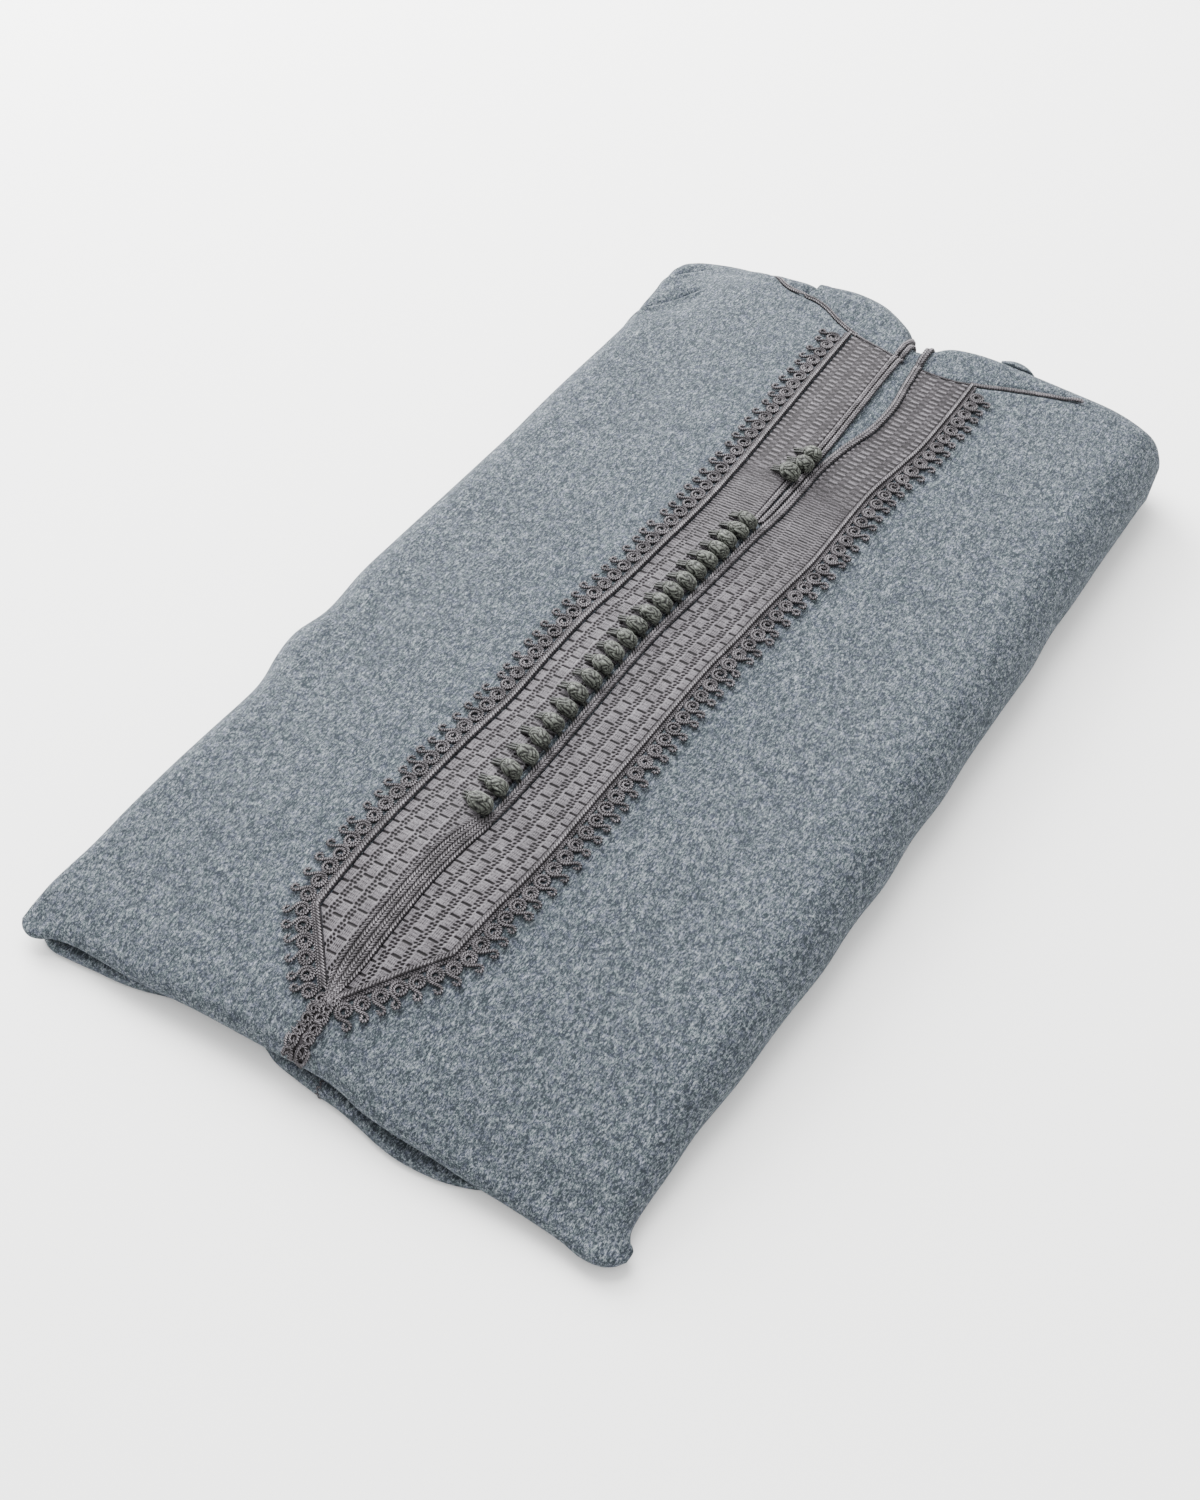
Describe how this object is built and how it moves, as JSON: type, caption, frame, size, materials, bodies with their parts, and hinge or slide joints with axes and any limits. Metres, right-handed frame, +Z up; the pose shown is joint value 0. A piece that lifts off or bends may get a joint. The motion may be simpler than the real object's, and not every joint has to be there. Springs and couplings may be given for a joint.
{
  "type": "folded djellaba",
  "caption": "Long hooded wool robe, folded into a flat packet with its chest up; woven bands, corded scrolls and knotted buttons trim the front opening.",
  "frame": {"origin": "middle of the packet's outline, on the surface that it rests on", "axes": "+Z up from the surface, +Y from the fold of the skirt to the neck, +X to the right of a viewer who looks from the skirt to the neck"},
  "size_m": [0.2852, 0.5348, 0.0567],
  "materials": {
    "wool": "fulled wool melton with a short nap, heathered slate grey",
    "galloon": "woven viscose band with a low sheen, mauve grey, darker dashes and dots between the yarns",
    "cord": "twisted and plaited viscose cord with a low sheen, mauve grey",
    "knot": "knots of twisted cord with a low sheen, olive grey"
  },
  "bodies": {
    "root": {"back_inside": "wool", "button_01": "knot", "button_02": "knot", "button_03": "knot", "button_04": "knot", "button_05": "knot", "button_06": "knot", "button_07": "knot", "button_08": "knot", "button_09": "knot", "button_10": "knot", "button_11": "knot", "button_12": "knot", "button_13": "knot", "button_14": "knot", "button_15": "knot", "button_16": "knot", "button_17": "knot", "button_18": "knot", "button_19": "knot", "button_20": "knot", "button_21": "knot", "button_22": "knot", "button_23": "knot", "button_24": "knot", "button_25": "knot", "button_26": "knot", "button_loops": "knot", "centre_band": "cord", "centre_band_lower": "cord", "centre_braid": "cord", "folded_layers": "wool", "front_left": "wool", "front_right": "wool", "galloon_left": "galloon", "galloon_right": "galloon", "hood_flap_right": "wool", "hood_left": "wool", "hood_right": "wool", "hood_under_left": "wool", "inner_cords_left": "cord", "inner_cords_right": "cord", "neck_braid_left": "cord", "neck_braid_right": "cord", "outer_cords_left": "cord", "outer_cords_right": "cord", "scroll_trim_left": "cord", "scroll_trim_right": "cord", "shoulder_left": "wool", "skirt_lower_left": "wool", "skirt_lower_right": "wool", "sleeve_left": "wool"}
  },
  "joints": []
}
